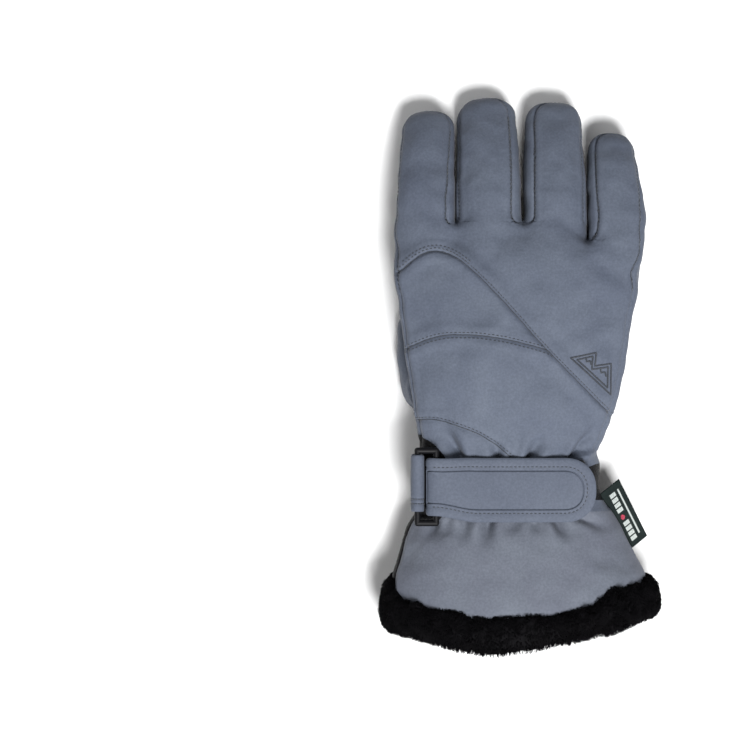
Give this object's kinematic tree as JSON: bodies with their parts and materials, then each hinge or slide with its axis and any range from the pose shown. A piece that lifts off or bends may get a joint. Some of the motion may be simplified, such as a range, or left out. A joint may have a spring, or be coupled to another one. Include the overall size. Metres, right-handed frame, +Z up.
{
  "type": "ski glove",
  "caption": "Insulated ski glove lying palm down, with bending fingers and thumb, a hook-and-loop wrist strap through a ring, and a faux-fur cuff.",
  "frame": {"origin": "on the surface under the middle of the glove's box", "axes": "+X towards the little finger, +Y towards the fingertips, +Z up, away from the palm"},
  "size_m": [0.138, 0.2735, 0.06],
  "materials": {
    "shell": "matte fine weave with a light sheen",
    "palm": "matte synthetic leather",
    "lining": "brushed fleece",
    "strap": "smooth laminated fabric",
    "closure": "hook and loop",
    "buckle": "satin moulded plastic",
    "fur": "long-pile faux fur",
    "label": "woven label",
    "elastic": "knitted elastic"
  },
  "bodies": {
    "hand": {"back_upper": "shell", "back_middle": "shell", "back_lower": "shell", "thumb_side_panel": "shell", "little_side_panel": "shell", "palm_panel": "palm", "palm_patch": "palm", "wrist_back": "shell", "wrist_palm": "palm", "wrist_elastic": "elastic", "hand_lining": "lining", "anchor_tab": "strap", "strap_base": "strap", "loop_patch": "closure"},
    "index_base": {"index_base_back": "shell", "index_base_palm": "palm", "index_base_sides": "shell", "index_base_lining": "lining"},
    "index_tip": {"index_tip_back": "shell", "index_tip_palm": "palm", "index_tip_sides": "shell", "index_tip_lining": "lining"},
    "middle_base": {"middle_base_back": "shell", "middle_base_palm": "palm", "middle_base_sides": "shell", "middle_base_lining": "lining"},
    "middle_tip": {"middle_tip_back": "shell", "middle_tip_palm": "palm", "middle_tip_sides": "shell", "middle_tip_lining": "lining"},
    "ring_base": {"ring_base_back": "shell", "ring_base_palm": "palm", "ring_base_sides": "shell", "ring_base_lining": "lining"},
    "ring_tip": {"ring_tip_back": "shell", "ring_tip_palm": "palm", "ring_tip_sides": "shell", "ring_tip_lining": "lining"},
    "little_base": {"little_base_back": "shell", "little_base_palm": "palm", "little_base_sides": "shell", "little_base_lining": "lining"},
    "little_tip": {"little_tip_back": "shell", "little_tip_palm": "palm", "little_tip_sides": "shell", "little_tip_lining": "lining"},
    "thumb_base": {"thumb_base_outer": "shell", "thumb_base_inner": "palm", "thumb_base_lining": "lining"},
    "thumb_tip": {"thumb_tip_outer": "shell", "thumb_tip_inner": "palm", "thumb_tip_lining": "lining"},
    "ring": {"strap_ring": "buckle"},
    "strap": {"strap_tab": "strap", "hook_patch": "closure"},
    "cuff": {"cuff_back": "shell", "cuff_palm": "palm", "cuff_lining": "lining", "fur_trim": "fur"},
    "label": {"label": "label"}
  },
  "joints": [
    {"name": "index_knuckle", "type": "hinge", "parent": "hand", "child": "index_base", "pos_m": [-0.0465, 0.084, 0.029], "axis": [-1, 0, 0], "range_deg": [-10, 50]},
    {"name": "index_middle", "type": "hinge", "parent": "index_base", "child": "index_tip", "pos_m": [-0.0465, 0.106, 0.02227], "axis": [-1, 0, 0], "range_deg": [-10, 50]},
    {"name": "middle_knuckle", "type": "hinge", "parent": "hand", "child": "middle_base", "pos_m": [-0.0155, 0.085, 0.029], "axis": [-1, 0, 0], "range_deg": [-10, 50]},
    {"name": "middle_middle", "type": "hinge", "parent": "middle_base", "child": "middle_tip", "pos_m": [-0.0155, 0.10986, 0.0214], "axis": [-1, 0, 0], "range_deg": [-10, 50]},
    {"name": "ring_knuckle", "type": "hinge", "parent": "hand", "child": "ring_base", "pos_m": [0.0169, 0.085, 0.029], "axis": [-1, 0, 0], "range_deg": [-10, 50]},
    {"name": "ring_middle", "type": "hinge", "parent": "ring_base", "child": "ring_tip", "pos_m": [0.0169, 0.10795, 0.02198], "axis": [-1, 0, 0], "range_deg": [-10, 50]},
    {"name": "little_knuckle", "type": "hinge", "parent": "hand", "child": "little_base", "pos_m": [0.0468, 0.076, 0.029], "axis": [-1, 0, 0], "range_deg": [-10, 50]},
    {"name": "little_middle", "type": "hinge", "parent": "little_base", "child": "little_tip", "pos_m": [0.0468, 0.09704, 0.02257], "axis": [-1, 0, 0], "range_deg": [-10, 50]},
    {"name": "thumb_swing", "type": "hinge", "parent": "hand", "child": "thumb_base", "pos_m": [-0.043, -0.006, 0.0108], "axis": [0, 0, 1], "range_deg": [0, 50]},
    {"name": "thumb_bend", "type": "hinge", "parent": "thumb_base", "child": "thumb_tip", "pos_m": [-0.04446, 0.02196, 0.0108], "axis": [0, 0, -1], "range_deg": [-25, 25]},
    {"name": "ring_tip", "type": "hinge", "parent": "hand", "child": "ring", "pos_m": [-0.0505, -0.0537, 0.0474], "axis": [0, -1, 0], "range_deg": [0, 12]},
    {"name": "strap_open", "type": "hinge", "parent": "ring", "child": "strap", "pos_m": [-0.0415, -0.0537, 0.0474], "axis": [0, -1, 0], "range_deg": [0, 125]},
    {"name": "cuff_flex", "type": "hinge", "parent": "hand", "child": "cuff", "pos_m": [0, -0.076, 0.023], "axis": [1, 0, 0], "range_deg": [-15, 15]},
    {"name": "label_fold", "type": "hinge", "parent": "cuff", "child": "label", "pos_m": [0.0412, -0.0596, 0.0255], "axis": [0.4586, -0.8886, 0], "range_deg": [-50, 30]}
  ]
}
